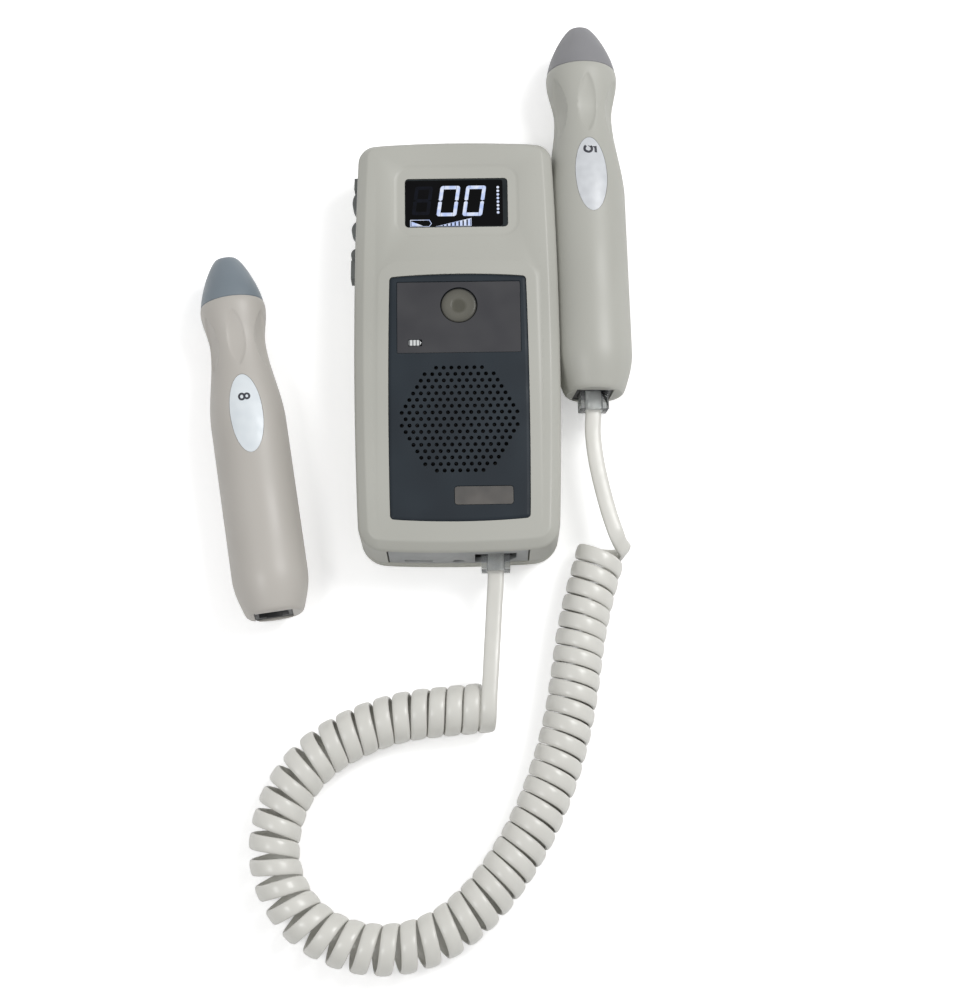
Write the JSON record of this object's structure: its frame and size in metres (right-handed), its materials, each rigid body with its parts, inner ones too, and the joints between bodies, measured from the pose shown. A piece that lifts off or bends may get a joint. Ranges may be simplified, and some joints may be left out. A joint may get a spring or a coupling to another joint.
{
  "type": "vascular doppler",
  "caption": "Hand-held vascular doppler with a display, side keys, a pencil probe docked at its side, a spare probe and a curly flat cord with modular plugs.",
  "frame": {"origin": "middle of the unit's flat back, on the table", "axes": "+Y from the socket end to the display end, +Z out of the front face, +X to the right of the display"},
  "size_m": [0.1807, 0.3983, 0.034],
  "materials": {
    "housing": "satin moulded ABS, warm light grey",
    "window": "clear acrylic over a lit display",
    "dark_plastic": "moulded black plastic",
    "dark_panel": "satin slate-blue plastic",
    "control_label": "printed polyester overlay, dark warm grey",
    "name_plate": "satin plate, bare",
    "light_pipe": "translucent white acrylic",
    "button": "translucent grey silicone",
    "metal": "plain steel",
    "board": "glass-epoxy board",
    "white_plastic": "white flat cable",
    "rubber": "matt silicone rubber",
    "end_panel": "satin grey plastic",
    "cell_wrap": "shrink sleeve",
    "clear_plastic": "clear polycarbonate",
    "gold": "gold-plated contacts",
    "cord": "soft glossy PVC, warm pale grey",
    "probe_tip": "satin blue-grey plastic",
    "probe_label": "white polyester oval",
    "crystal": "piezo ceramic"
  },
  "bodies": {
    "unit": {"front_housing": "housing", "back_housing": "housing", "probe_cradle": "housing", "lcd_window": "window", "lcd_module": "dark_plastic", "speaker_panel": "dark_panel", "control_label": "control_label", "name_plate": "name_plate", "charge_light": "light_pipe", "status_led": "light_pipe", "button_switch": "metal", "speaker_frame": "metal", "speaker_cone": "dark_plastic", "main_board": "board", "connector_board": "board", "board_ribbon": "white_plastic", "side_key_strip": "rubber", "side_key_switches": "metal", "end_panel": "end_panel", "unit_jack": "dark_plastic", "headphone_jack": "dark_plastic", "charge_socket": "metal", "battery_cells": "cell_wrap", "battery_contacts": "metal", "housing_screws": "metal", "board_screws": "metal", "cradle_screws": "metal", "unit_plug": "clear_plastic", "unit_plug_contacts": "gold", "cord_lead_unit": "cord", "cord_coil": "cord", "cord_lead_probe": "cord"},
    "docked_probe": {"docked_probe_shell": "housing", "docked_probe_tip": "probe_tip", "docked_probe_label": "probe_label", "docked_probe_jack": "dark_plastic", "docked_probe_board": "board", "docked_probe_crystals": "crystal", "probe_plug": "clear_plastic", "probe_plug_contacts": "gold"},
    "spare_probe": {"spare_probe_shell": "housing", "spare_probe_tip": "probe_tip", "spare_probe_label": "probe_label", "spare_probe_jack": "dark_plastic", "spare_probe_board": "board", "spare_probe_crystals": "crystal"},
    "power_button": {"power_button": "button"},
    "upper_key": {"upper_side_key": "rubber"},
    "middle_key": {"middle_side_key": "rubber"},
    "lower_key": {"lower_side_key": "rubber"},
    "battery_door": {"battery_door": "housing"}
  },
  "joints": [
    {"name": "docked_probe_lift", "type": "slide", "parent": "unit", "child": "docked_probe", "axis": [0.7071, 0, 0.7071], "range_m": [0, 0.035], "deforming": ["cord_lead_probe"]},
    {"name": "spare_probe_lift", "type": "slide", "parent": "unit", "child": "spare_probe", "axis": [0, 0, 1], "range_m": [0, 0.04]},
    {"name": "power_press", "type": "slide", "parent": "unit", "child": "power_button", "axis": [0, 0, -1], "range_m": [0, 0.0008], "stiffness_N_per_m": 700, "springref_m": -0.0003},
    {"name": "upper_key_press", "type": "slide", "parent": "unit", "child": "upper_key", "axis": [1, 0, 0], "range_m": [0, 0.0006], "stiffness_N_per_m": 900, "springref_m": -0.0003},
    {"name": "middle_key_press", "type": "slide", "parent": "unit", "child": "middle_key", "axis": [1, 0, 0], "range_m": [0, 0.0006], "stiffness_N_per_m": 900, "springref_m": -0.0003},
    {"name": "lower_key_press", "type": "slide", "parent": "unit", "child": "lower_key", "axis": [1, 0, 0], "range_m": [0, 0.0006], "stiffness_N_per_m": 900, "springref_m": -0.0003},
    {"name": "battery_door_lift", "type": "slide", "parent": "unit", "child": "battery_door", "axis": [0, 0, -1], "range_m": [0, 0.02]}
  ]
}
